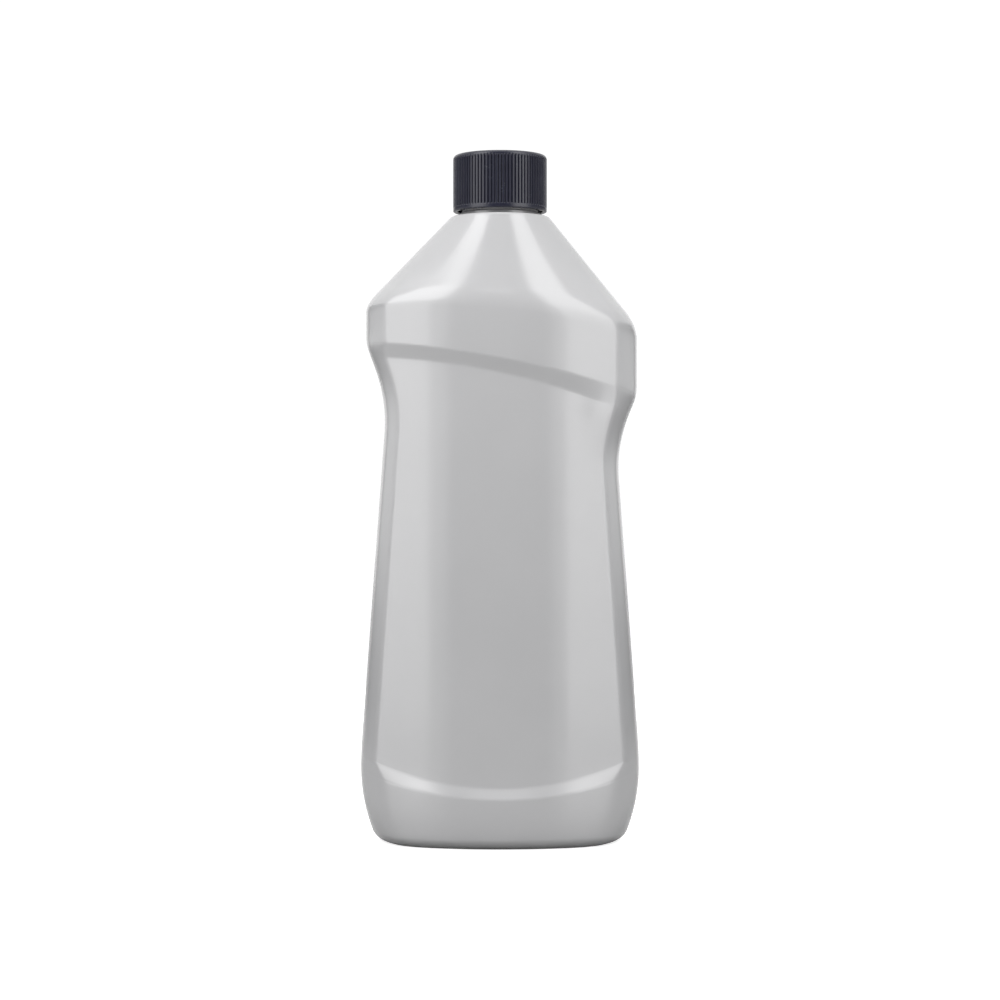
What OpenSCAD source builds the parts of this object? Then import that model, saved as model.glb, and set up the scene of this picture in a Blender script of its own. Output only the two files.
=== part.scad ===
// Cleaner bottle: a blow-moulded flat bottle with a waist and a swept label panel, a ribbed screw cap
// and the sealing wad inside the cap. Millimetres, +Z up, front face towards -Y. The origin is on the
// neck's axis, at the level of the surface that the bottle stands on.

/* [Body] */
// Height of the flat land at the top of the shoulder
body_h = 205.3; // [195:0.1:230]
// Width across the belly
belly_w = 91.7; // [84:0.1:100]
// Height of the widest place of the belly
belly_z = 24; // [18:0.1:30]
// Depth across the base, front to back
base_d = 58; // [52:0.1:66]
// Depth across the shoulder band, front to back
band_d = 56; // [52:0.1:62]
// Pull-in of the base wall's sides at the table, from the belly
base_pull = 5.4; // [2:0.1:8]
// Pull-in of the base wall's front and back at the table
front_pull = 1.8; // [1:0.1:6]
// Taper of each side from the belly to the waist, per millimetre of height
side_taper = 0.0735; // [0.04:0.0005:0.09]
// Rounding of the sides above the belly
belly_soft = 5; // [2:0.1:8]
// Wall thickness
wall = 0.9; // [0.6:0.05:1.5]
// Thickness of the floor
floor_t = 1.1; // [0.6:0.05:2]

/* [Waist and shoulder band] */
// Height of the waist on the left side
waist_left_z = 145; // [138:0.1:150]
// Height of the waist on the right side
waist_right_z = 130.4; // [120:0.1:136]
// Reach of the waist's curve, up and down
waist_soft = 11; // [6:0.1:13]
// Reach of the shoulder band to the left of the neck axis
band_left = 44.1; // [42:0.1:48]
// Reach of the shoulder band to the right of the neck axis
band_right = 45.1; // [42:0.1:48]
// Rounding of the band's lower edge at the sides
band_soft = 2.6; // [1:0.1:4]
// Height of the shoulder edge at the left
edge_left_z = 176.4; // [172:0.1:182]
// Height of the shoulder edge at the front centre
edge_mid_z = 176.6; // [172:0.1:182]
// Height of the shoulder edge at the right
edge_right_z = 169.4; // [164:0.1:176]
// Tangent length of the rounding along the shoulder edge
edge_soft = 3.8; // [1:0.1:6]

/* [Label panel] */
// Depth of the panel below the base wall
panel_depth = 1.8; // [0.8:0.1:3]
// Lean of the panel, from its foot to its head
panel_lean = 1.3; // [0:0.1:3]
// Height of the panel's lower lip at the front centre
lip_mid_z = 16.2; // [12:0.1:20]
// Height of the panel's lower lip at the sides
lip_side_z = 24.3; // [20:0.1:28]
// Height of the slope from the lower lip down to the panel, at the front centre
lip_slope_h = 3.6; // [2.5:0.1:6]
// Height of that slope at the sides
lip_slope_side_h = 4.7; // [2.5:0.1:7]
// Height of the step at the head of the panel, at the left
step_left_z = 163.2; // [160:0.1:166]
// Height of the step at the head of the panel, at the front centre
step_mid_z = 157.6; // [154:0.1:161]
// Height of the step at the head of the panel, at the right
step_right_z = 146.4; // [143:0.1:150]
// Height of the step's slope
step_slope_h = 4.8; // [3:0.1:6.5]
// Height of the step's slope at its right end
step_slope_right_h = 6; // [3:0.1:8]
// Share of the step's depth that runs out at its right end
run_share = 0.62; // [0:0.01:0.9]
// Place where the run-out starts, as a share of the half width
run_from = 0.58; // [0.4:0.01:0.8]
// Place where the run-out is complete, as a share of the half width
run_full = 0.88; // [0.82:0.01:0.95]
// Reach of the run-out down the panel
run_down = 22; // [10:0.1:40]
// Rounding of the panel's edges
panel_soft = 0.6; // [0.4:0.05:1.5]

/* [Corners of the plan section] */
// Radius of the front and back faces, seen from above
face_r = 72; // [60:1:110]
// Bulge of the side, corner to the widest point, in the base
base_bulge = 8; // [5:0.1:10]
// Bulge of the side along the label panel
panel_bulge = 5.2; // [4:0.1:8]
// Bulge of the side in the shoulder band
band_bulge = 6.8; // [4:0.1:9]
// Softness of the upright corners in the base
base_corner = 3.2; // [1:0.1:5]
// Softness of the upright corners above the base
panel_corner = 0.9; // [0.4:0.05:3]
// Softness of the upright corners where they run out on the shoulder
shoulder_corner = 9; // [3:0.1:12]

/* [Foot] */
// Roll of the foot, measured inwards
foot_in = 3.7; // [2:0.1:6]
// Roll of the foot, measured upwards
foot_up = 3.6; // [2:0.1:6]
// Width of the standing ring
foot_ring = 4; // [2:0.1:6]
// Rise of the push-up in the middle of the base
push_up = 2.6; // [1:0.1:5]

/* [Neck finish] */
// Outside diameter of the neck wall
neck_d = 25.1; // [23:0.05:27]
// Thickness of the neck wall
neck_t = 1.75; // [1.4:0.05:2.5]
// Height of the neck above the land
neck_h = 17.2; // [15:0.1:22]
// Projection of the bead at the root of the neck
bead_out = 0.65; // [0.3:0.05:1]
// Height of the bead
bead_h = 1.3; // [0.8:0.1:3]
// Width of the land, from the neck wall to the shoulder
land_w = 3.55; // [2.5:0.05:4.5]
// Rounding of the land's edge
land_soft = 0.8; // [0.3:0.1:1.2]
// Room for the screw thread on the neck wall
thread_h = 1.2; // [0.8:0.05:1.5]

/* [Cap] */
// Clearance between the neck's thread and the skirt
thread_gap = 0.25; // [0.1:0.05:0.5]
// Thickness of the skirt, across its ribs
skirt_t = 1.45; // [1.2:0.05:2.5]
// Thickness of the cap's top
cap_top = 1.4; // [0.8:0.1:2]
// Gap between the cap's rim and the land
cap_gap = 1.6; // [0.6:0.1:3]
// Radius of the rounded top edge
cap_round = 1.6; // [0.8:0.1:3]
// Chamfer round the foot of the rim, outside and inside
rim_ease = 0.4; // [0.2:0.05:0.6]
// Height of the plain rim below the grooves
rim_h = 1.2; // [0.8:0.1:4]
// Number of grooves round the skirt
rib_count = 86; // [60:2:120]
// Depth of the grooves
rib_depth = 0.4; // [0.2:0.05:0.6]
// Share of the pitch that a groove takes at the surface
groove_share = 0.56; // [0.4:0.01:0.7]
// Share of the pitch that a groove takes at its root
groove_root_share = 0.1; // [0.04:0.01:0.4]

/* [Liner] */
// Thickness of the sealing wad
liner_t = 1.7; // [1:0.05:2.5]
// Clearance between the wad and the skirt, each side
liner_gap = 0.4; // [0.1:0.05:0.6]
// Hold of the bead that keeps the wad in the cap
liner_hold = 0.3; // [0.1:0.05:0.5]

/* [Hidden] */
$fn = 96;

// Samples of the loft: points in each quarter of a section, and rows in each rounding.
quarter = 16;
round_rows = 4;
crowding = 1.5;

// Heights and diameters that follow from the sizes above.
lip_top_mid = lip_mid_z + lip_slope_h;
lip_top_side = lip_side_z + lip_slope_side_h;
step_low_mid = step_mid_z - step_slope_h;
land_r = neck_d / 2 + land_w;
neck_top = body_h + neck_h;
seat_z = neck_top + liner_t;
skirt_r = neck_d / 2 + thread_h + thread_gap;
cap_r = skirt_r + skirt_t;
cap_z = body_h + cap_gap;
cap_top_z = seat_z + cap_top;

// The neck's root reaches into the shoulder, round a throat that lies inside the neck wall.
neck_root = 2;
throat_r = (neck_d - neck_t) / 2;
throat_h = 3;

// The panel is plain between these levels, away from the curves of the belly and the waist.
plain_low = lip_top_mid + 4 * belly_soft;
plain_high = step_low_mid - 4 * waist_soft;

// How far a cutting shape reaches past what it cuts.
past = 1;

// A straight line that takes a new slope at one place, through a parabola that reaches as far as soft.
function bend(z, at, turn, soft) =
    turn * (z <= at - soft ? 0 : z >= at + soft ? z - at : pow(z - at + soft, 2) / (4 * soft));

// Smooth rise from 0 to 1 while k goes from 0 to 1.
function ease(k) = let (s = min(1, max(0, k))) s * s * (3 - 2 * s);

// Values from a to just before b in n even steps.
function span(a, b, n) = [for (i = [0 : n - 1]) a + (b - a) * i / n];

// Outline of one side in the front view: base curve, taper, waist and shoulder band.
function side_x(z, waist_z, band_z, reach) =
    let (
        top = belly_z + belly_soft,
        flare = (reach - belly_w / 2 + side_taper * (waist_z - top)) / (band_z - waist_z)
    )
    belly_w / 2 - base_pull * pow(max(0, 1 - z / belly_z), 2) - bend(z, top, side_taper, belly_soft)
        + bend(z, waist_z, flare + side_taper, waist_soft) - bend(z, band_z, flare, band_soft);

// Half depth at the front centre: base curve, lower lip, panel, step and shoulder band.
function front_y(z) =
    let (
        lip = panel_depth / lip_slope_h,
        lean = panel_lean / (step_low_mid - lip_top_mid),
        step = (band_d / 2 - base_d / 2 + panel_depth + panel_lean) / step_slope_h
    )
    base_d / 2 - front_pull * pow(max(0, 1 - z / lip_mid_z), 3)
        - bend(z, lip_mid_z, lip, panel_soft) + bend(z, lip_top_mid, lip - lean, panel_soft)
        + bend(z, step_low_mid, step + lean, panel_soft) - bend(z, step_mid_z, step, panel_soft);

// Rise of the panel towards the band near the right end of the step, where the step runs out.
function run_out(z, u) =
    run_share * (band_d / 2 - front_y(z)) * ease((u - run_from) / (run_full - run_from))
        * ease(1 + (z - step_low_mid) / run_down);

// A level line of the body is a parabola in the front view. These give its two ends from its middle.
function left_z(z) = lookup(z, [
    [foot_up, foot_up], [lip_mid_z, lip_side_z], [lip_top_mid, lip_top_side],
    [step_low_mid, step_left_z - step_slope_h], [step_mid_z, step_left_z], [edge_mid_z, edge_left_z]]);
function right_z(z) = lookup(z, [
    [foot_up, foot_up], [lip_mid_z, lip_side_z], [lip_top_mid, lip_top_side],
    [step_low_mid, step_right_z - step_slope_right_h], [step_mid_z, step_right_z],
    [edge_mid_z, edge_right_z]]);
function line_z(mid, left, right, u) = mid + (right - left) / 2 * u + ((left + right) / 2 - mid) * u * u;

// Side bulge and corner softness at a level.
function bulge_at(z) = lookup(z, [
    [lip_mid_z, base_bulge], [lip_top_mid, panel_bulge],
    [step_low_mid, panel_bulge], [step_mid_z, band_bulge]]);
function corner_at(z) = lookup(z, [[lip_mid_z, base_corner], [lip_top_mid, panel_corner]]);

// Depth of a section's corner, where the crowned face has fallen away from the half depth b.
function corner_y(a, b, bulge) = b - pow(a - bulge, 2) / (2 * face_r);

// Distance along a ray to a crowned face: the face stands at flat, and falls away as crown times the square.
function hit(flat, crown, toward, across) =
    2 * flat / (toward + sqrt(toward * toward + 4 * crown * across * across * flat));

// Radius of a plan section with half width a and half depth b, in the direction t, with softened corners.
function section_r(t, a, b, bulge, soft) =
    let (
        c = abs(cos(t)),
        s = abs(sin(t)),
        front = hit(b, 1 / (2 * face_r), s, c),
        side = hit(a, bulge / pow(corner_y(a, b, bulge), 2), c, s),
        near = max(soft - abs(front - side), 0)
    )
    min(front, side) - near * near / (4 * soft);

// Places round a quarter section, from 0 at the side to 1 at the face, crowded at the corner in the middle.
places = [
    for (i = [0 : quarter - 1])
        let (s = 2 * i / quarter - 1)
        (1 + sign(s) * pow(abs(s), crowding)) / 2];
around = concat(
    [for (p = places) [p, 1, 1]], [for (p = places) [1 - p, -1, 1]],
    [for (p = places) [p, -1, -1]], [for (p = places) [1 - p, 1, -1]]);
count = len(around);

// Direction of one place: the middle of the quarter always lies on the section's corner.
function ray(place, a, b, bulge) =
    let (corner = atan2(corner_y(a, b, bulge), a - bulge))
    place < 0.5 ? 2 * place * corner : corner + (2 * place - 1) * (90 - corner);

// One row of the skin at a level, pulled in by pull, with its height given at the middle and both ends.
function row(z, left, right, pull, soft, rise = 0) =
    let (
        reach = [
            side_x(right, waist_right_z, step_right_z, band_right) - pull,
            side_x(left, waist_left_z, step_left_z, band_left) - pull],
        b = front_y(z) - pull,
        bulge = bulge_at(z)
    )
    [for (p = around)
        let (
            a = p[1] > 0 ? reach[0] : reach[1],
            t = ray(p[0], a, b, bulge),
            r = section_r(t, a, b, bulge, soft),
            x = p[1] * r * cos(t),
            y = r * sin(t) + run_out(z, x / a) * min(1, 2 * p[0])
        )
        [x, p[2] * y, rise + line_z(z, left, right, x / a)]];
function level(z, pull) = row(z, left_z(z), right_z(z), pull, corner_at(z));
function flat(z, pull, rise = 0) = row(z, z, z, pull, base_corner, rise);

// Rows of the foot's roll, from the standing ring upwards.
function roll(pull, rise, n) = [
    for (f = span(0, 90, n)) flat(foot_up * (1 - cos(f)), pull + foot_in * (1 - sin(f)), rise)];

// Rows of the push-up, from its middle out to the standing ring.
function dome(pull, rise, n) = [
    for (i = [1 : n])
        let (s = i / n)
        [for (p = flat(0, pull + foot_in + foot_ring)) [s * p[0], s * p[1], rise + push_up * (1 - s * s)]]];

// Point k of the way from a to b, and a row between two rows.
function mix(a, b, k) = a + (b - a) * k;
function mix_rows(a, b, k) = [for (j = [0 : count - 1]) mix(a[j], b[j], k)];

// A level circle with its points in the same directions as those of a row.
function circle_row(like, r, z) = [for (p = like) let (t = atan2(p[1], p[0])) [r * cos(t), r * sin(t), z]];

// Parabolic rounding from row a to row c, with its corner at row b.
function rounding(a, b, c, n) = [
    for (k = span(0, 1, n)) mix_rows(mix_rows(a, b, k), mix_rows(b, c, k), k)];

// Rows of the shoulder: its rounded edge, then lines up to a circle of radius r, as the corners run out.
function shoulder(pull, r, top, n) =
    let (
        sharp = level(edge_mid_z, pull),
        faded = row(edge_mid_z, edge_left_z, edge_right_z, pull, shoulder_corner),
        end = circle_row(sharp, r, top),
        start = edge_soft / (top - edge_mid_z),
        slope = [for (s = span(start, 1, n)) mix_rows(mix_rows(sharp, faded, min(1, 2 * s)), end, s)]
    )
    concat(rounding(level(edge_mid_z - edge_soft, pull), sharp, slope[0], n), slope);

// Heights of the body's rows at the front centre, close together where the panel's edges are.
function edge_rows(z) = span(z - panel_soft, z + panel_soft, round_rows);
outer_levels = concat(
    span(foot_up, lip_mid_z - panel_soft, round_rows),
    edge_rows(lip_mid_z), edge_rows(lip_top_mid),
    span(lip_top_mid + panel_soft, plain_low, 3),
    span(plain_low, plain_high, 3),
    span(plain_high, step_low_mid - panel_soft, 8),
    edge_rows(step_low_mid), edge_rows(step_mid_z),
    span(step_mid_z + panel_soft, edge_mid_z - edge_soft, 2));
inner_levels = concat(
    span(foot_up + floor_t, lip_mid_z, 2), [lip_mid_z, lip_top_mid, plain_low],
    span(plain_high, step_low_mid, 6), [step_low_mid, step_mid_z]);

// The whole skin as one grid: under the base, up the outside, over the land, down the inside, to the floor.
function backwards(rows) = [for (i = [len(rows) - 1 : -1 : 0]) rows[i]];
function skin() =
    let (
        slope = shoulder(0, land_r, body_h, round_rows),
        last = slope[len(slope) - 1],
        edge = circle_row(last, land_r, body_h),
        land = circle_row(last, land_r - land_soft, body_h),
        inside = shoulder(wall, throat_r, body_h - throat_h, 2)
    )
    concat(
        dome(0, 0, 3), roll(0, 0, round_rows), [for (z = outer_levels) level(z, 0)], slope,
        rounding(
            [for (j = [0 : count - 1]) mix(edge[j], last[j], land_soft / norm(last[j] - edge[j]))],
            edge, land, 3),
        [land, circle_row(last, throat_r, body_h), circle_row(last, throat_r, body_h - throat_h)],
        backwards(inside), [for (z = backwards(inner_levels)) level(z, wall)],
        backwards(roll(wall, floor_t, 2)), backwards(dome(wall, floor_t, 2)));

// A closed solid over a grid of rows, with a point at the middle of each end.
module grid_solid(rows, first, last) {
    n = len(rows);
    tip = n * count;
    polyhedron(
        concat([for (r = rows) each r], [first, last]),
        concat(
            [for (i = [0 : n - 2], j = [0 : count - 1])
                let (k = (j + 1) % count)
                each [[i * count + j, (i + 1) * count + k, i * count + k],
                    [i * count + j, (i + 1) * count + j, (i + 1) * count + k]]],
            [for (j = [0 : count - 1]) [tip, j, (j + 1) % count]],
            [for (j = [0 : count - 1])
                [tip + 1, (n - 1) * count + (j + 1) % count, (n - 1) * count + j]]));
}

// Neck finish: a plain wall with a bead at its root and an eased lip. Its screw thread is left off.
module neck() {
    lip = 0.5;
    soft = 0.4;
    outer = neck_d / 2;
    inner = outer - neck_t;
    bead = outer + bead_out;
    rotate_extrude()
        polygon([
            [inner, body_h - neck_root], [bead, body_h - neck_root], [bead, body_h + bead_h - soft],
            [bead - soft, body_h + bead_h], [outer, body_h + bead_h], [outer, neck_top - lip],
            [outer - lip, neck_top], [inner + soft, neck_top], [inner, neck_top - soft]]);
}

module bottle() {
    color([0.8, 0.8, 0.81])
        union() {
            grid_solid(skin(), [0, 0, push_up], [0, 0, push_up + floor_t]);
            neck();
        }
}

// Ring of grooves: everything outside the ribs, with crests left to the skirt's own surface.
module groove_ring(h) {
    pitch = 360 / rib_count;
    root = cap_r - rib_depth;
    out = cap_r + rib_depth;
    // Half widths of a groove as shares of the pitch, out past the surface and at its root.
    wide = groove_share - groove_root_share / 2;
    narrow = groove_root_share / 2;
    shape = [[out, -wide], [root, -narrow], [root, narrow], [out, wide]];
    linear_extrude(h)
        difference() {
            circle(out + past);
            polygon([for (i = [0 : rib_count - 1], p = shape)
                let (t = pitch * (i + p[1])) [p[0] * cos(t), p[0] * sin(t)]]);
        }
}

// Outside of the cap: an eased rim, a straight skirt and a rounded top edge.
module cap_outline() {
    round_z = cap_top_z - cap_round;
    rotate_extrude()
        union() {
            polygon([
                [0, cap_z], [cap_r - rim_ease, cap_z], [cap_r, cap_z + rim_ease], [cap_r, round_z],
                [cap_r - cap_round, round_z], [cap_r - cap_round, cap_top_z], [0, cap_top_z]]);
            intersection() {
                translate([cap_r - cap_round, round_z])
                    circle(cap_round);
                translate([cap_r - cap_round, round_z])
                    square(cap_round);
            }
        }
}

// Inside of the skirt: a bore with a lead-in at its mouth and a bead that holds the wad.
module cap_hollow() {
    bead = liner_gap + liner_hold;
    bead_z = neck_top - liner_hold;
    rotate_extrude()
        polygon([
            [0, cap_z - past], [skirt_r + rim_ease + past, cap_z - past], [skirt_r, cap_z + rim_ease],
            [skirt_r, bead_z - 2 * bead], [skirt_r - bead, bead_z - bead / 2], [skirt_r - bead, bead_z],
            [skirt_r, bead_z], [skirt_r, seat_z], [0, seat_z]]);
}

module cap() {
    color([0.15, 0.15, 0.2])
        difference() {
            cap_outline();
            cap_hollow();
            translate([0, 0, cap_z + rim_h])
                groove_ring(cap_top_z - cap_round - cap_z - rim_h);
        }
}

// Sealing wad: a plain disc between the lip and the underside of the cap's top.
module cap_liner() {
    color([0.93, 0.93, 0.9])
        translate([0, 0, neck_top])
            cylinder(r = skirt_r - liner_gap, h = liner_t);
}

bottle();
cap_liner();
cap();
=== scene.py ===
import math

import bpy
import numpy as np
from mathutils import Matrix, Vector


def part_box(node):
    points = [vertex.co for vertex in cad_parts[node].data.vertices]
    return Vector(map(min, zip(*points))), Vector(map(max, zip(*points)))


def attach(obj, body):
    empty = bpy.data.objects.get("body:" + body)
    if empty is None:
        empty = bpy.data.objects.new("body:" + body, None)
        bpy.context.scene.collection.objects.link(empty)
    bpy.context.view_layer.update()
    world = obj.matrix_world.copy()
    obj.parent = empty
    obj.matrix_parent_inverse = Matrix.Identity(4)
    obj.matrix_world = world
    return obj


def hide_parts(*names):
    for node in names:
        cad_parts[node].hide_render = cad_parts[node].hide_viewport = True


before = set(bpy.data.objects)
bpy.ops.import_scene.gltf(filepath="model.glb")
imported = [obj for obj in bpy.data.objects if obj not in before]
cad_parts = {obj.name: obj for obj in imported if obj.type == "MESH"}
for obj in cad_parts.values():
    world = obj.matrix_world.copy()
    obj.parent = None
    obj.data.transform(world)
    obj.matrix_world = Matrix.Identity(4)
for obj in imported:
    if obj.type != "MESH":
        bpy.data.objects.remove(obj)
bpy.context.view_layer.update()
mm = 0.001

bottleHigh = np.array(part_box("bottle")[1]) / mm
capLow, capHigh = (np.array(corner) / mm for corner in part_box("cap"))
linerLow, linerHigh = (np.array(corner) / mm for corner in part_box("cap_liner"))
poleRadius = 0.4    # innermost ring of a turned surface, in mm
print("frame loaded, bottle top at", round(float(bottleHigh[2]), 2), "mm")


# Grid helpers

def gridMesh(name, rows, flat=None):
    # rows is an array (rows, columns, 3) in mm. Columns wrap round, and each end closes in a pole at the mean
    # of its row. Faces between two rows marked in flat keep their edges crisp.
    count, columns, _ = rows.shape
    points = np.concatenate([rows.reshape(-1, 3), rows[:1].mean(1), rows[-1:].mean(1)])
    ring = np.arange(columns)
    below = (np.arange(count - 1) * columns)[:, None] + ring
    above = below + columns
    quads = np.stack([below, np.roll(below, -1, 1), np.roll(above, -1, 1), above], -1).reshape(-1, 4)
    lowPole = np.stack([np.full(columns, len(points) - 2), np.roll(ring, -1), ring], -1)
    lastRing = ring + (count - 1) * columns
    highPole = np.stack([np.full(columns, len(points) - 1), lastRing, np.roll(lastRing, -1)], -1)
    loops = np.concatenate([quads.reshape(-1), lowPole.reshape(-1), highPole.reshape(-1)])
    sizes = np.repeat([4, 3], [len(quads), 2 * columns])
    starts = np.concatenate([[0], np.cumsum(sizes)[:-1]])
    corner = points[quads]
    volume = np.einsum("ij,ij->i", corner[:, 0], np.cross(corner[:, 1], corner[:, 2])).sum()
    volume += np.einsum("ij,ij->i", corner[:, 0], np.cross(corner[:, 2], corner[:, 3])).sum()
    if volume < 0:    # turn every face round so that it points outwards
        owner = np.repeat(np.arange(len(sizes)), sizes)
        within = np.arange(len(loops)) - starts[owner]
        loops = loops[starts[owner] + sizes[owner] - 1 - within]
    rounded = np.ones(len(sizes), bool)
    if flat is not None:
        rounded[:len(quads)] = np.repeat(~(flat[:-1] & flat[1:]), columns)
    mesh = bpy.data.meshes.new(name)
    mesh.vertices.add(len(points))
    mesh.vertices.foreach_set("co", (points * mm).astype(np.float32).reshape(-1))
    mesh.loops.add(len(loops))
    mesh.loops.foreach_set("vertex_index", loops.astype(np.int32))
    mesh.polygons.add(len(sizes))
    mesh.polygons.foreach_set("loop_start", starts.astype(np.int32))
    mesh.polygons.foreach_set("use_smooth", rounded)
    mesh.update(calc_edges=True)
    mesh.validate()
    piece = bpy.data.objects.new(name, mesh)
    bpy.context.scene.collection.objects.link(piece)
    return piece


def smooth(x):
    # smoothstep: 3x^2 - 2x^3 between 0 and 1, flat outside
    x = np.clip(x, 0, 1)
    return x * x * (3 - 2 * x)


def spaced(start, end, count):
    # even steps from start up to end, without end itself
    return np.linspace(start, end, count, endpoint=False)


def bend(z, at, turn, soft):
    # a straight line that takes a new slope at one place, through a parabola that reaches as far as soft
    curve = (z - at + soft) ** 2 / (4 * soft)
    return turn * np.where(z <= at - soft, 0, np.where(z >= at + soft, z - at, curve))


def parabola(start, corner, end, k):
    # point at share k of the parabola from start to end whose tangents meet at corner
    return (1 - k) ** 2 * start + 2 * k * (1 - k) * corner + k ** 2 * end


def roundedProfile(corners, reaches, steps=5):
    # profile with each inner corner replaced by a parabola whose tangents have the given length
    corners = np.asarray(corners, float)
    k = np.linspace(0, 1, steps)[:, None]
    path = [corners[:1]]
    for before, at, after, reach in zip(corners, corners[1:], corners[2:], reaches):
        start = at + (before - at) / np.linalg.norm(before - at) * reach
        end = at + (after - at) / np.linalg.norm(after - at) * reach
        path.append(parabola(start, at, end, k))
    return np.concatenate(path + [corners[-1:]])


def circleRows(angle, radius, z):
    # level circles with their points in given directions: one radius for each row, or one for each point
    radius, z = (np.asarray(v, float) for v in (radius, z))
    radius = radius if radius.ndim == 2 else radius[:, None]
    z = np.broadcast_to(z[:, None], np.broadcast(radius, angle).shape)
    return np.stack([radius * np.cos(angle), radius * np.sin(angle), z], -1)


def turned(angle, profile):
    # profile of radius and height, turned about the neck's axis
    return circleRows(angle, profile[:, 0], profile[:, 1])


# Bottle

bottle = {
    # base, belly and walls
    "bellyHalf": bottleHigh[0], "bellyZ": 24, "bellySoft": 5, "basePull": 5.4,
    "baseHalfDepth": bottleHigh[1], "bandHalfDepth": 28, "frontPull": 1.8, "sideTaper": 0.0735,
    "wall": 0.9, "floor": 1.1,
    "footIn": 3.7, "footUp": 3.6, "footRing": 4, "pushUp": 2.6,
    # waist and shoulder band, at the left and at the right
    "waistZ": (145, 130.4), "waistSoft": 11, "bandReach": (44.1, 45.1), "bandSoft": 2.6,
    # shoulder edge, and the step at the panel's head: left, middle, right
    "edgeZ": (176.4, 176.6, 169.4), "edgeSoft": 3.8,
    "stepZ": (163.2, 157.6, 146.4), "stepSlope": (4.8, 4.8, 6),
    # panel, its lower lip, and the step's running out at the right: by a share of its depth, between two
    # shares of the half width, and over a height below the step
    "panelDepth": 1.8, "panelLean": 1.3, "panelSoft": 0.6, "panelMidZ": 110,
    "lipMidZ": 16.2, "lipSideZ": 24.3, "lipSlope": 3.6, "lipSlopeSide": 4.7,
    "runShare": 0.62, "runFrom": 0.58, "runFull": 0.88, "runDown": 22,
    # plan section: crown of the face, bulge of the side, softness of the corner between them
    "faceRadius": 72, "baseBulge": 8, "panelBulge": 5.2, "bandBulge": 6.8,
    "baseCorner": 3.2, "panelCorner": 0.9, "shoulderCorner": 9,
    # land, bead, neck, mouth and thread
    "landWidth": 3.55, "landSoft": 0.8,
    "beadOut": 0.65, "beadHeight": 1.3, "beadFoot": 0.8, "beadHead": 1, "beadSoft": (0.3, 0.45, 0.15),
    "neckRadius": 12.55, "neckThick": 1.75, "neckHeight": 17.2,
    "mouthOut": 0.8, "mouthIn": 1, "mouthSoft": (0.5, 0.4),
    "throatDrop": 2, "throatFlare": (1, 1.4), "throatSoft": 1,
    "threadHeight": 1.15, "threadPitch": 4.233, "threadTurns": 1.5, "threadTop": 2.6,
    "threadHalf": (1.2, 0.55), "threadFade": 0.12,
    # columns in a quarter, how much they crowd at the corner, the gap between stretches of rows on the neck,
    # and the rows in each stretch
    "quarter": 52, "crowding": 1.5, "rowGap": 0.1,
    "rows": {"dome": 10, "roll": 12, "base": 12, "crease": 9, "lip": 3, "panelLow": 30, "panelHigh": 34,
             "step": 4, "band": 8, "edge": 14, "slope": 26, "land": 6, "neck": 76},
    "insideRows": {"dome": 4, "roll": 5, "base": 4, "panelLow": 5, "panelHigh": 12, "edge": 6, "slope": 10},
    "insideLipUp": 4, "insideBandUp": 8,    # inner rows next above the lip and the step
}
b = bottle    # short, for the formulas below
lipTop = b["lipMidZ"] + b["lipSlope"]
stepMidZ = b["stepZ"][1]
stepLow = stepMidZ - b["stepSlope"][1]
neckTop = bottleHigh[2]
landZ = neckTop - b["neckHeight"]
landRadius = b["neckRadius"] + b["landWidth"]

# places round a quarter section, 0 at the side and 1 at the face, crowded at the corner in the middle
spread = spaced(-1, 1, b["quarter"])
quarterPlace = (1 + np.sign(spread) * np.abs(spread) ** b["crowding"]) / 2
sectionPlace = np.concatenate([quarterPlace, 1 - quarterPlace, quarterPlace, 1 - quarterPlace])
signX = np.repeat([1, -1, -1, 1], b["quarter"])
signY = np.repeat([1, 1, -1, -1], b["quarter"])


def sideX(z, side):
    # outline of one side in the front view: base curve, taper, waist and shoulder band
    waistZ = b["waistZ"][side]
    bandZ = b["stepZ"][2 * side]
    top = b["bellyZ"] + b["bellySoft"]
    widening = b["bandReach"][side] - b["bellyHalf"] + b["sideTaper"] * (waistZ - top)
    flare = widening / (bandZ - waistZ)
    x = b["bellyHalf"] - b["basePull"] * np.maximum(0, 1 - z / b["bellyZ"]) ** 2
    x = x - bend(z, top, b["sideTaper"], b["bellySoft"])
    x = x + bend(z, waistZ, flare + b["sideTaper"], b["waistSoft"])
    return x - bend(z, bandZ, flare, b["bandSoft"])


def frontY(z):
    # half depth at the front centre: base curve, lower lip, panel, step and shoulder band
    soft = b["panelSoft"]
    lip = b["panelDepth"] / b["lipSlope"]
    lean = b["panelLean"] / (stepLow - lipTop)
    rise = b["bandHalfDepth"] - b["baseHalfDepth"] + b["panelDepth"] + b["panelLean"]
    step = rise / b["stepSlope"][1]
    y = b["baseHalfDepth"] - b["frontPull"] * np.maximum(0, 1 - z / b["lipMidZ"]) ** 3
    y = y - bend(z, b["lipMidZ"], lip, soft) + bend(z, lipTop, lip - lean, soft)
    return y + bend(z, stepLow, step + lean, soft) - bend(z, stepMidZ, step, soft)


def hit(flat, crown, toward, across):
    # distance along a ray to a face that stands at flat and falls away as crown times the square
    return 2 * flat / (toward + np.sqrt(toward ** 2 + 4 * crown * across ** 2 * flat))


def runOut(mid, u):
    # rise of the panel towards the band's depth, near the right end of the step
    across = smooth((u - b["runFrom"]) / (b["runFull"] - b["runFrom"]))
    upward = smooth((mid - stepLow) / b["runDown"] + 1)
    return b["runShare"] * (b["bandHalfDepth"] - frontY(mid)) * across * upward


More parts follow.
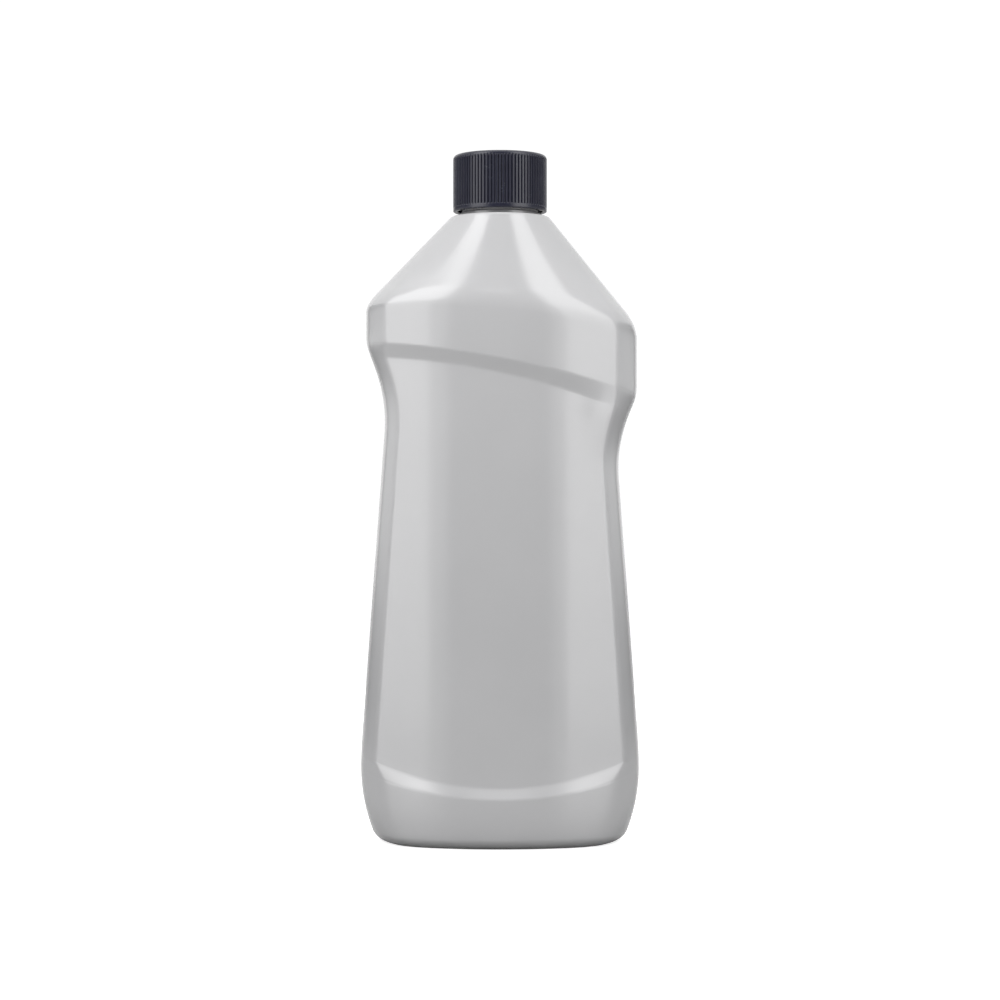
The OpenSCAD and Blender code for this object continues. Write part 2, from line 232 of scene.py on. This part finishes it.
def sectionRows(mid, left, right, pull, soft, rise=0):
    # rows of the skin: each plan section is a crowned face and a bulged side met in a softened corner, and
    # its height follows a parabola through left, mid and right in the front view
    columns = (np.atleast_1d(v).astype(float)[:, None] for v in (mid, left, right, pull, soft))
    mid, left, right, pull, soft = columns
    half = np.where(signX > 0, sideX(right, 1), sideX(left, 0)) - pull
    depth = frontY(mid) - pull
    bulge = np.interp(mid, [b["lipMidZ"], lipTop, stepLow, stepMidZ],
                      [b["baseBulge"], b["panelBulge"], b["panelBulge"], b["bandBulge"]])
    cornerY = depth - (half - bulge) ** 2 / (2 * b["faceRadius"])
    corner = np.arctan2(cornerY, half - bulge)
    onFace = corner + (2 * sectionPlace - 1) * (np.pi / 2 - corner)
    angle = np.where(sectionPlace < 0.5, 2 * sectionPlace * corner, onFace)
    cosine, sine = np.cos(angle), np.sin(angle)
    front = hit(depth, 1 / (2 * b["faceRadius"]), sine, cosine)
    side = hit(half, bulge / cornerY ** 2, cosine, sine)
    near = np.maximum(soft - np.abs(front - side), 0)
    radius = np.minimum(front, side) - near ** 2 / (4 * soft)
    x = signX * radius * cosine
    u = x / half
    y = signY * (radius * sine + runOut(mid, u) * np.minimum(1, 2 * sectionPlace))
    z = rise + mid + (right - left) / 2 * u + ((left + right) / 2 - mid) * u ** 2
    return np.stack([x, y, z], -1)


def levelRows(mid, pull):
    # rows through given heights at the front centre. At both sides they rise in step with the lip, the step
    # and the shoulder edge there.
    knots = [b["footUp"], b["lipMidZ"], lipTop, stepLow, stepMidZ, b["edgeZ"][1]]
    lipKnots = [b["footUp"], b["lipSideZ"], b["lipSideZ"] + b["lipSlopeSide"]]

    def sideLevel(k):
        stepKnots = [b["stepZ"][k] - b["stepSlope"][k], b["stepZ"][k], b["edgeZ"][k]]
        return np.interp(mid, knots, lipKnots + stepKnots)

    soft = np.interp(mid, [b["lipMidZ"], lipTop], [b["baseCorner"], b["panelCorner"]])
    return sectionRows(mid, sideLevel(0), sideLevel(2), pull, soft)


def rollRows(pull, rise, count):
    # quarter ellipse from the standing ring up into the base wall
    turn = spaced(0, np.pi / 2, count)
    z = b["footUp"] * (1 - np.cos(turn))
    inward = pull + b["footIn"] * (1 - np.sin(turn))
    return sectionRows(z, z, z, inward, np.full(count, b["baseCorner"]), rise)


def domeRows(pull, rise, count):
    # paraboloid push-up inside the standing ring
    ring = sectionRows(0, 0, 0, pull + b["footIn"] + b["footRing"], b["baseCorner"])
    size = np.linspace(0, 1, count + 1)[1:, None, None]
    rows = ring * size
    rows[..., 2] = rise + b["pushUp"] * (1 - size[..., 0] ** 2)
    return rows


def roundingRows(start, corner, end, count):
    # parabola from row start to row end, without the row end itself
    return parabola(start, corner, end, spaced(0, 1, count)[:, None, None])


def shoulderRows(pull, radius, top, counts):
    # rounded edge, then lines up to a circle, while the upright corners run out over the lower half
    left, mid, right = b["edgeZ"]
    sharp = levelRows(np.array([mid]), pull)
    faded = sectionRows(mid, left, right, pull, b["shoulderCorner"])
    angle = np.arctan2(sharp[0, :, 1], sharp[0, :, 0])
    end = circleRows(angle, [radius], [top])
    s = spaced(b["edgeSoft"] / (top - mid), 1, counts["slope"])[:, None, None]
    base = sharp + (faded - sharp) * np.minimum(1, 2 * s)
    slope = base + (end - base) * s
    start = levelRows(np.array([mid - b["edgeSoft"]]), pull)
    return np.concatenate([roundingRows(start, sharp, slope[:1], counts["edge"]), slope]), angle


def landRows(slope, angle):
    # rounding from the shoulder's slope to the flat land
    rim = circleRows(angle, [landRadius], [landZ])
    inner = circleRows(angle, [landRadius - b["landSoft"]], [landZ])
    down = slope[-1:] - rim
    start = rim + down / np.linalg.norm(down, axis=-1, keepdims=True) * b["landSoft"]
    return np.concatenate([roundingRows(start, rim, inner, b["rows"]["land"]), inner])


def threadRidge(angle, z, topZ, half):
    # height 0 to 1 of the thread's ridge: a soft trapezoid across its centre line, which climbs one pitch for
    # each turn up to topZ, and which runs out over a share of a turn at both ends
    turns, pitch, fade = b["threadTurns"], b["threadPitch"], b["threadFade"]
    rootHalf, crestHalf = half
    angle, z = angle[None, :], z[:, None]
    height = np.zeros(np.broadcast(angle, z).shape)
    for lap in range(math.ceil(turns) + 1):
        along = (angle % (2 * np.pi)) / (2 * np.pi) + lap
        across = np.abs(z - (topZ - pitch * turns) - pitch * along)
        ridge = smooth((rootHalf - across) / (rootHalf - crestHalf))
        ends = smooth(along / fade) * smooth((turns - along) / fade)
        height = np.maximum(height, ridge * ends)
    return height


def neckRows(angle):
    # bead, threaded wall, lip and throat, turned about the axis. The throat's last point goes with them.
    gap = b["rowGap"]
    neckR = b["neckRadius"]
    mouthR = neckR - b["neckThick"]
    beadR, beadZ = neckR + b["beadOut"], landZ + b["beadHeight"]
    wallLow, wallHigh = beadZ + b["beadHead"], neckTop - b["mouthOut"]
    bead = roundedProfile([[beadR + b["beadFoot"], landZ], [beadR, landZ], [beadR, beadZ], [neckR, beadZ],
                           [neckR, wallLow]], b["beadSoft"])
    wallZ = np.linspace(wallLow + gap, wallHigh - gap, b["rows"]["neck"])
    ridge = threadRidge(angle, wallZ, neckTop - b["threadTop"], b["threadHalf"])
    lip = roundedProfile([[neckR, wallHigh], [neckR, neckTop], [mouthR, neckTop],
                          [mouthR, neckTop - b["mouthIn"]]], b["mouthSoft"])
    throatZ = landZ - b["throatDrop"]
    flareOut, flareDown = b["throatFlare"]
    throat = roundedProfile([[mouthR, neckTop - b["mouthIn"] - 2 * gap], [mouthR, throatZ],
                             [mouthR + flareOut, throatZ - flareDown]], [b["throatSoft"]])
    wall = circleRows(angle, neckR + b["threadHeight"] * ridge, wallZ)
    return [turned(angle, bead), wall, turned(angle, lip), turned(angle, throat)], throat[-1]


def outsideLevels():
    # heights of the outer rows at the front centre, close together in each crease
    rows, soft, midZ = b["rows"], b["panelSoft"], b["panelMidZ"]

    def crease(z):
        return spaced(z - soft, z + soft, rows["crease"])

    return np.concatenate([
        spaced(b["footUp"], b["lipMidZ"] - soft, rows["base"]), crease(b["lipMidZ"]),
        spaced(b["lipMidZ"] + soft, lipTop - soft, rows["lip"]), crease(lipTop),
        spaced(lipTop + soft, midZ, rows["panelLow"]),
        spaced(midZ, stepLow - soft, rows["panelHigh"]), crease(stepLow),
        spaced(stepLow + soft, stepMidZ - soft, rows["step"]), crease(stepMidZ),
        spaced(stepMidZ + soft, b["edgeZ"][1] - b["edgeSoft"], rows["band"])])


def insideLevels():
    # heights of the inner rows at the front centre, which are fewer
    rows, midZ = b["insideRows"], b["panelMidZ"]
    return np.concatenate([
        spaced(b["footUp"] + b["floor"], b["lipMidZ"], rows["base"]), [b["lipMidZ"], lipTop],
        spaced(lipTop + b["insideLipUp"], midZ, rows["panelLow"]), spaced(midZ, stepLow, rows["panelHigh"]),
        [stepLow, stepMidZ, stepMidZ + b["insideBandUp"]]])


def bottleSkin():
    # one grid: under the base, up the outside, over the land, round the neck, down the inside, to the floor
    wall, rise, outer, inner = b["wall"], b["floor"], b["rows"], b["insideRows"]
    slope, angle = shoulderRows(0, landRadius, landZ, outer)
    neck, throatEnd = neckRows(angle)
    innerSlope, _ = shoulderRows(wall, *throatEnd, inner)
    return np.concatenate([
        domeRows(0, 0, outer["dome"]), rollRows(0, 0, outer["roll"]), levelRows(outsideLevels(), 0),
        slope, landRows(slope, angle), *neck,
        innerSlope[::-1], levelRows(insideLevels()[::-1], wall),
        rollRows(wall, rise, inner["roll"])[::-1], domeRows(wall, rise, inner["dome"])[::-1]])


bottlePiece = gridMesh("bottleShell", bottleSkin())
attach(bottlePiece, "bottle")
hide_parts("bottle")
print("bottle shell:", len(bottlePiece.data.polygons), "faces")


# Cap

cap = {
    "round": 1.6, "roundRows": 14, "topThick": 1.4, "skirtThick": 1.45,
    "rimHeight": 1.2, "rimSoft": 0.45, "rimRows": 6, "rimInside": 1.6,
    # a rib's columns from one groove's root to the next, as shares of the pitch, and the groove's depth there
    "ribs": 86, "ribDepth": 0.42,
    "ribPlaces": (0, 0.25, 0.31, 0.69, 0.75), "grooveDepth": (1, 0.09, 0, 0, 0.09),
    # where the grooves start below the top, how they run out at head and foot, and their even rows
    "ribTop": 1, "ribFade": (0.7, 0.5), "ribEven": (2.2, 0.8), "ribRows": 5, "fadeRows": 6, "crispFrom": 0.6,
    # thread, below the neck's, and how far the bore ends from the rim and from the wad
    "threadHeight": 1.1, "threadDrop": 2.1, "threadHalf": (0.95, 0.45), "threadRows": 58,
    "boreEnds": (1.8, 2.2),
    # bead under the wad: how far it stands in and lies below, and its start, foot and crest below its top
    "beadIn": 0.7, "beadDrop": 0.3, "beadDown": (1.7, 1.3, 0.35),
    "seatSoft": (0.3, 0.2, 0.12, 0.1, 0.2), "seatRows": 4,
    "rowGap": (0.01, 0.1),    # between stretches of rows: at the end of the top rounding, and elsewhere
}
capR = capHigh[0]
skirtR = capR - cap["skirtThick"]
seatZ = capHigh[2] - cap["topThick"]


def capOutline():
    # profile from the middle of the top, down the skirt and round the rim into the bore, and the share of
    # the grooves' depth at each of its points: they run out into the top rounding and above the plain rim
    low, top = capLow[2], capHigh[2]
    roundLow, ribTop, ribLow = top - cap["round"], top - cap["ribTop"], low + cap["rimHeight"]
    headFade, footFade = cap["ribFade"]
    evenTop, evenLow = cap["ribEven"]
    tightGap, gap = cap["rowGap"]
    crown = roundedProfile([[poleRadius, top], [capR, top], [capR, roundLow - tightGap]], [cap["round"]],
                           cap["roundRows"])
    skirtZ = np.concatenate([[roundLow - gap], np.linspace(top - evenTop, ribLow + evenLow, cap["ribRows"]),
                             np.linspace(ribLow + footFade, ribLow, cap["fadeRows"])])
    rimEnds = ribLow - gap, low + cap["rimInside"]
    rim = roundedProfile([[capR, rimEnds[0]], [capR, low], [skirtR, low], [skirtR, rimEnds[1]]],
                         [cap["rimSoft"]] * 2, cap["rimRows"])
    outline = np.concatenate([crown, np.stack([np.full(len(skirtZ), capR), skirtZ], -1), rim])
    radius, z = outline.T
    onOutside = radius > (capR + skirtR) / 2
    return outline, smooth((ribTop - z) / headFade) * smooth((z - ribLow) / footFade) * onOutside


def capSkin():
    # one grid: the outline turned about the axis less the grooves, the threaded bore and the wad's seat
    angle = (np.arange(cap["ribs"])[:, None] + cap["ribPlaces"]).reshape(-1) * 2 * np.pi / cap["ribs"]
    groove = np.tile(cap["grooveDepth"], cap["ribs"])
    outline, share = capOutline()
    skirt = circleRows(angle, outline[:, :1] - cap["ribDepth"] * groove * share[:, None], outline[:, 1])

    boreFoot, boreHead = cap["boreEnds"]
    boreZ = np.linspace(capLow[2] + boreFoot, linerLow[2] - boreHead, cap["threadRows"])
    ridge = threadRidge(angle, boreZ, neckTop - b["threadTop"] - cap["threadDrop"], cap["threadHalf"])
    bore = circleRows(angle, skirtR - cap["threadHeight"] * ridge, boreZ)

    beadR, beadZ = skirtR - cap["beadIn"], linerLow[2] - cap["beadDrop"]
    start, foot, crest = (beadZ - down for down in cap["beadDown"])
    seat = roundedProfile([[skirtR, start], [skirtR, foot], [beadR, crest], [beadR, beadZ], [skirtR, beadZ],
                           [skirtR, seatZ], [poleRadius, seatZ]], cap["seatSoft"], cap["seatRows"])
    rows = np.concatenate([skirt, bore, turned(angle, seat)])
    flat = np.zeros(len(rows), bool)
    flat[:len(share)] = share > cap["crispFrom"]
    return rows, flat


capPiece = gridMesh("screwCap", *capSkin())
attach(capPiece, "cap")
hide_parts("cap")
print("cap:", len(capPiece.data.polygons), "faces")


# Liner

liner = {
    "edge": 0.15, "edgeSoft": 0.12, "dent": 0.14, "dentRadii": (10.9, 12.4), "dentSlope": 0.3,
    "columns": 160, "rings": 60,
}


def linerSkin():
    # a disc turned about the axis, with the ring that the lip has pressed into its underside
    radius, low, high = linerHigh[0], linerLow[2], linerHigh[2]
    inner, outer = liner["dentRadii"]
    slope = liner["dentSlope"]
    ring = np.linspace(poleRadius, radius - liner["edge"], liner["rings"])
    dent = liner["dent"] * smooth((ring - inner) / slope + 0.5) * smooth((outer - ring) / slope + 0.5)
    under = np.stack([ring, low + dent], -1)
    side = roundedProfile([under[-1], [radius, low], [radius, high], [poleRadius, high]],
                          [liner["edgeSoft"]] * 2)
    return turned(spaced(0, 2 * np.pi, liner["columns"]), np.concatenate([under, side[1:]]))


linerPiece = gridMesh("sealingWad", linerSkin())
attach(linerPiece, "liner")
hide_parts("cap_liner")
print("liner:", len(linerPiece.data.polygons), "faces")


# Shader sockets as Python values

class Socket:
    def __init__(self, tree, out=None):
        self.tree = tree
        self.out = out

    def node(self, kind, settings=None, inputs=None, output=0):
        made = self.tree.nodes.new(kind)
        for key, value in (settings or {}).items():
            setattr(made, key, value)
        for key, value in (inputs or {}).items():
            if isinstance(value, Socket):
                self.tree.links.new(value.out, made.inputs[key])
            else:
                made.inputs[key].default_value = value
        return Socket(self.tree, made.outputs[output] if made.outputs else None)

    def maths(self, operation, first, second=0.0):
        return self.node("ShaderNodeMath", {"operation": operation}, {0: first, 1: second})

    def __add__(self, other):
        return self.maths("ADD", self, other)

    def __radd__(self, other):
        return self.maths("ADD", other, self)

    def __sub__(self, other):
        return self.maths("SUBTRACT", self, other)

    def __rsub__(self, other):
        return self.maths("SUBTRACT", other, self)

    def __mul__(self, other):
        return self.maths("MULTIPLY", self, other)

    def __rmul__(self, other):
        return self.maths("MULTIPLY", other, self)

    def __abs__(self):
        return self.maths("ABSOLUTE", self)

    def step(self, low, high):
        settings = {"interpolation_type": "SMOOTHSTEP"}
        return self.node("ShaderNodeMapRange", settings, {"Value": self, "From Min": low, "From Max": high})

    def noise(self, scale, detail=2.0):
        return self.node("ShaderNodeTexNoise", {}, {"Vector": self, "Scale": scale, "Detail": detail})

    def axis(self, name):
        return self.node("ShaderNodeSeparateXYZ", {}, {"Vector": self}, name)

    def length(self):
        return self.node("ShaderNodeVectorMath", {"operation": "LENGTH"}, {0: self}, "Value")


def newMaterial(name):
    # an empty material, a socket to make its nodes from, and its Object coordinates
    material = bpy.data.materials.new(name)
    material.use_nodes = True
    tree = material.node_tree
    tree.nodes.clear()
    nodes = Socket(tree)
    return material, nodes, nodes.node("ShaderNodeTexCoord", {}, {}, "Object")


def finishSurface(nodes, shader):
    nodes.node("ShaderNodeOutputMaterial", {}, {"Surface": shader})


def mixColours(nodes, factor, first, second):
    # colour between two, by a value from 0 to 1
    first, second = (c if isinstance(c, Socket) else (*c, 1) for c in (first, second))
    return nodes.node("ShaderNodeMix", {"data_type": "RGBA"}, {0: factor, 6: first, 7: second}, 2)


def raised(nodes, height):
    # normal of a surface raised by a height in metres
    return nodes.node("ShaderNodeBump", {}, {"Height": height, "Distance": 1.0, "Strength": 1.0})


# Materials, with lengths in metres

def bottlePlastic():
    # satin blown polyethylene: faint flow in the colour, a fine skin grain, slow waves, the mould's parting
    # line, and painted shade: a darker ring round the root of the neck, standing in for the shade under the
    # cap's rim
    look = {
        "pale": (0.52, 0.52, 0.528), "deep": (0.485, 0.485, 0.493), "rough": 0.16, "ior": 1.75,
        "flowScale": 38, "grainScale": 1500, "waveScale": 95, "flowRough": 0.06, "grainRough": 0.08,
        "grainHeight": 0.000006, "waveHeight": 0.00005, "seamHeight": 0.00009, "seamHalf": (0.00012, 0.0004),
        # painted shade ring for the shade under the cap's rim: colour, its share, the fades at its inner and
        # outer radius, and at its foot and head
        "ring": (0.12, 0.12, 0.125), "paintedShadeShare": 0.8,
        "paintedShadeIn": (0.0117, 0.0119), "paintedShadeOut": (0.0134, 0.0137), "paintedShadeFoot": 0.0002, "paintedShadeHead": 0.0004,
    }
    material, nodes, place = newMaterial("bottlePlastic")
    flow = place.noise(look["flowScale"], 3)
    grain = place.noise(look["grainScale"])
    wave = place.noise(look["waveScale"], 1)
    seam = 1 - abs(place.axis("Y")).step(*look["seamHalf"])
    height = grain * look["grainHeight"] + wave * look["waveHeight"] + seam * look["seamHeight"]

    level = place.axis("Z")
    levelPlace = nodes.node("ShaderNodeVectorMath", {"operation": "MULTIPLY"}, {0: place, 1: (1, 1, 0)})
    radius = levelPlace.length()
    # painted shade: a band round the bead under the cap's rim, darkened in the colour instead of by light
    paintedShadeLow, paintedShadeHigh = landZ * mm, (landZ + b["beadHeight"]) * mm
    ring = level.step(paintedShadeLow, paintedShadeLow + look["paintedShadeFoot"])
    ring = ring * (1 - level.step(paintedShadeHigh, paintedShadeHigh + look["paintedShadeHead"]))
    ring = ring * (1 - radius.step(*look["paintedShadeOut"])) * radius.step(*look["paintedShadeIn"])

    colour = mixColours(nodes, flow, look["deep"], look["pale"])
    # the Base Color takes the painted shade ring at the neck's root
    finishSurface(nodes, nodes.node("ShaderNodeBsdfPrincipled", {}, {
        "Base Color": mixColours(nodes, ring * look["paintedShadeShare"], colour, look["ring"]),
        "Roughness": look["rough"] + (grain - 0.5) * look["grainRough"] + (flow - 0.5) * look["flowRough"],
        "Normal": raised(nodes, height), "IOR": look["ior"]}))
    return material


def capPlastic():
    # moulded dark navy plastic with a fine satin grain and slightly glossier patches
    look = {
        "pale": (0.02, 0.021, 0.036), "deep": (0.0135, 0.0142, 0.026),
        "rough": 0.24, "ior": 1.5, "shine": 0.55,
        "flowScale": 160, "grainScale": 2600, "flowRough": 0.1, "grainRough": 0.1, "grainHeight": 0.000012,
    }
    material, nodes, place = newMaterial("capPlastic")
    flow = place.noise(look["flowScale"])
    grain = place.noise(look["grainScale"])
    finishSurface(nodes, nodes.node("ShaderNodeBsdfPrincipled", {}, {
        "Base Color": mixColours(nodes, flow, look["deep"], look["pale"]),
        "Roughness": look["rough"] + (grain - 0.5) * look["grainRough"] + (flow - 0.5) * look["flowRough"],
        "Normal": raised(nodes, grain * look["grainHeight"]),
        "IOR": look["ior"], "Specular IOR Level": look["shine"]}))
    return material


def linerFoam():
    # closed-cell foam: small pits and a warm off-white
    look = {
        "pale": (0.8, 0.79, 0.74), "deep": (0.68, 0.67, 0.62), "rough": 0.75,
        "cellScale": 2200, "cellRough": 0.1, "cellHeight": 0.00008,
    }
    material, nodes, place = newMaterial("linerFoam")
    cells = nodes.node("ShaderNodeTexVoronoi", {}, {"Vector": place, "Scale": look["cellScale"]}, "Distance")
    finishSurface(nodes, nodes.node("ShaderNodeBsdfPrincipled", {}, {
        "Base Color": mixColours(nodes, cells, look["pale"], look["deep"]),
        "Roughness": look["rough"] + cells * look["cellRough"],
        "Normal": raised(nodes, cells * look["cellHeight"])}))
    return material


for piece, material in ((bottlePiece, bottlePlastic()), (capPiece, capPlastic()), (linerPiece, linerFoam())):
    piece.data.materials.append(material)
print("materials done")


# Studio, in metres

studio = {
    "camera": (0.0, -0.825, 0.112), "lens": 90.0, "sensor": 36.0,
    # floor: its glow to the camera goes from floorLift's first to its second value over liftRadius, and
    # bounce is its colour for light that bounces
    "floorSize": 12.0, "floorWhite": 0.75, "floorRough": 0.2,
    "floorLift": (0.75, 1.0), "liftRadius": (0.25, 0.6), "bounce": 0.07,
    "ambient": 0.1, "skyLift": 0.05,    # world as a light, and over white to the camera
    # name: angle from the front, distance, foot, width, height, radiance, more radiance out of reflections
    "boxes": {
        "leftLow": (-55.3, 0.6, 0.0, 0.40, 0.45, 1.4, 1.0),
        "leftHigh": (-52, 0.6, 0.45, 0.44, 0.6, 2.8, 2.3),
        "rightLow": (52, 0.6, 0.0, 0.37, 0.45, 1.55, 1.0),
        "rightHigh": (51, 0.6, 0.45, 0.41, 0.6, 2.1, 1.9),
    },
    "behind": 0.01,                     # from a box back to its second lamp
    "topBox": (1.1, 1.2, 0.5, 0.8),     # height, width, depth, radiance
    # out of reflections: place along Y, width, foot, top, radiance
    "fills": {"frontFill": (-1.1, 1.0, 0.0, 1.0, 1.3), "backFill": (0.73, 0.84, 0.05, 1.05, 2.2)},
    # cards out of the camera's sight: the two ends, foot, top, and the glow at the edges and in the middle
    "cards": {
        "leftCard": ((-0.55, -0.12), (-0.55, 0.95), 0.0, 0.4, 0.12, 0.95),
        "rightCard": ((0.55, -0.12), (0.55, 0.95), 0.0, 0.4, 0.12, 0.85),
        "frontCard": ((-0.62, -1.2), (0.62, -1.2), 0.0, 2.0, 0.01, 0.01),
        "overCard": ((-0.3, -1.19), (0.3, -1.19), 1.1, 1.42, 0.8, 0.8),
    },
    # where the middle's glow fades, along Z and Y
    "cardFoot": (0.03, 0.15), "cardTop": (0.18, 0.27), "cardEnd": (0.6, 0.95),
}


def grey(level):
    return level, level, level, 1


def stageSheet(name, corners, material):
    # a flat four-cornered sheet of the studio
    mesh = bpy.data.meshes.new(name)
    mesh.from_pydata(corners, [], [(0, 1, 2, 3)])
    mesh.materials.append(material)
    sheet = bpy.data.objects.new(name, mesh)
    bpy.context.scene.collection.objects.link(sheet)
    return sheet


def lightPath(nodes, name):
    return nodes.node("ShaderNodeLightPath", {}, {}, name)


def shownRays(nodes):
    # 1 for rays that show the background: to the camera, in a reflection or through glass
    camera, mirrored, through = (lightPath(nodes, "Is " + kind + " Ray")
                                 for kind in ("Camera", "Glossy", "Transmission"))
    return nodes.maths("MAXIMUM", camera, nodes.maths("MAXIMUM", mirrored, through))


def makeFloor():
    # white with a glow to the camera, satin in reflections, and dull to the light that bounces
    side = studio["floorSize"] / 2
    near, far = studio["floorLift"]
    material, nodes, place = newMaterial("paleFloor")
    lift = near + place.length().step(*studio["liftRadius"]) * (far - near)
    seen = lightPath(nodes, "Is Camera Ray")
    white = nodes.node("ShaderNodeBsdfDiffuse", {}, {"Color": grey(studio["floorWhite"])})
    glow = nodes.node("ShaderNodeEmission", {}, {"Color": lift * seen})
    lit = nodes.node("ShaderNodeAddShader", {}, {0: white, 1: glow})
    satin = nodes.node("ShaderNodeBsdfPrincipled", {}, {
        "Base Color": grey(studio["floorWhite"]), "Roughness": studio["floorRough"]})
    pale = nodes.node("ShaderNodeMixShader", {}, {0: seen, 1: satin, 2: lit})
    dull = nodes.node("ShaderNodeBsdfDiffuse", {}, {"Color": grey(studio["bounce"])})
    finishSurface(nodes, nodes.node("ShaderNodeMixShader", {}, {0: shownRays(nodes), 1: dull, 2: pale}))
    stageSheet("floor", [(-side, -side, 0), (side, -side, 0), (side, side, 0), (-side, side, 0)], material)


def makeWorld():
    # white where it is seen, and faint as a light
    world = bpy.data.worlds.new("studioWorld")
    world.use_nodes = True
    world.node_tree.nodes.clear()
    nodes = Socket(world.node_tree)
    white = studio["ambient"] + shownRays(nodes) * (1 - studio["ambient"])
    white = white + lightPath(nodes, "Is Camera Ray") * studio["skyLift"]
    glow = nodes.node("ShaderNodeBackground", {}, {"Color": white})
    nodes.node("ShaderNodeOutputWorld", {}, {"Surface": glow})
    bpy.context.scene.world = world


def addLamp(name, spot, aim, width, height, radiance, mirrored=True):
    # an area lamp that faces its aim. Its power is pi times its area times its radiance.
    data = bpy.data.lights.new(name, "AREA")
    data.shape = "RECTANGLE"
    data.size, data.size_y = width, height
    data.energy = math.pi * width * height * radiance
    lamp = bpy.data.objects.new(name, data)
    lamp.location = spot
    x, y, z = (end - start for start, end in zip(spot, aim))
    lamp.rotation_euler = (math.atan2(math.hypot(x, y), -z), 0, math.atan2(-x, y))
    lamp.visible_camera = False
    lamp.visible_glossy = mirrored
    bpy.context.scene.collection.objects.link(lamp)


def makeLamps():
    # each box is two lamps: one that shows in reflections, and one just behind it that only lights
    for name, (turn, distance, foot, width, height, radiance, more) in studio["boxes"].items():
        turn, middle = math.radians(turn), foot + height / 2
        lamps = ((name, distance, radiance, True), (name + "Fill", distance + studio["behind"], more, False))
        for lampName, away, level, mirrored in lamps:
            spot = (away * math.sin(turn), -away * math.cos(turn), middle)
            addLamp(lampName, spot, (0, 0, middle), width, height, level, mirrored)
    top, width, depth, radiance = studio["topBox"]
    addLamp("topBox", (0, 0, top), (0, 0, 0), width, depth, radiance)
    for name, (away, width, foot, top, radiance) in studio["fills"].items():
        middle = (foot + top) / 2
        addLamp(name, (0, away, middle), (0, 0, middle), width, top - foot, radiance, mirrored=False)


def makeCards():
    # cards out of the camera's sight, to show in reflections: each glows in its middle and fades to its edges
    for name, (start, end, foot, top, edge, middle) in studio["cards"].items():
        material, nodes, place = newMaterial(name)
        level = place.axis("Z")
        lit = level.step(*studio["cardFoot"]) * (1 - level.step(*studio["cardTop"]))
        lit = lit * (1 - place.axis("Y").step(*studio["cardEnd"]))
        glow = edge + lit * (middle - edge)
        finishSurface(nodes, nodes.node("ShaderNodeEmission", {}, {"Color": glow}))
        card = stageSheet(name, [(*start, foot), (*end, foot), (*end, top), (*start, top)], material)
        card.visible_camera = False


def makeCamera():
    data = bpy.data.cameras.new("camera")
    data.lens = studio["lens"]
    data.sensor_width = studio["sensor"]
    camera = bpy.data.objects.new("camera", data)
    camera.location = studio["camera"]
    camera.rotation_euler = (math.pi / 2, 0, 0)    # level, towards +Y
    bpy.context.scene.collection.objects.link(camera)
    bpy.context.scene.camera = camera


makeFloor()
makeWorld()
makeLamps()
makeCards()
makeCamera()
bpy.context.scene.view_settings.view_transform = "Standard"
print("studio done")
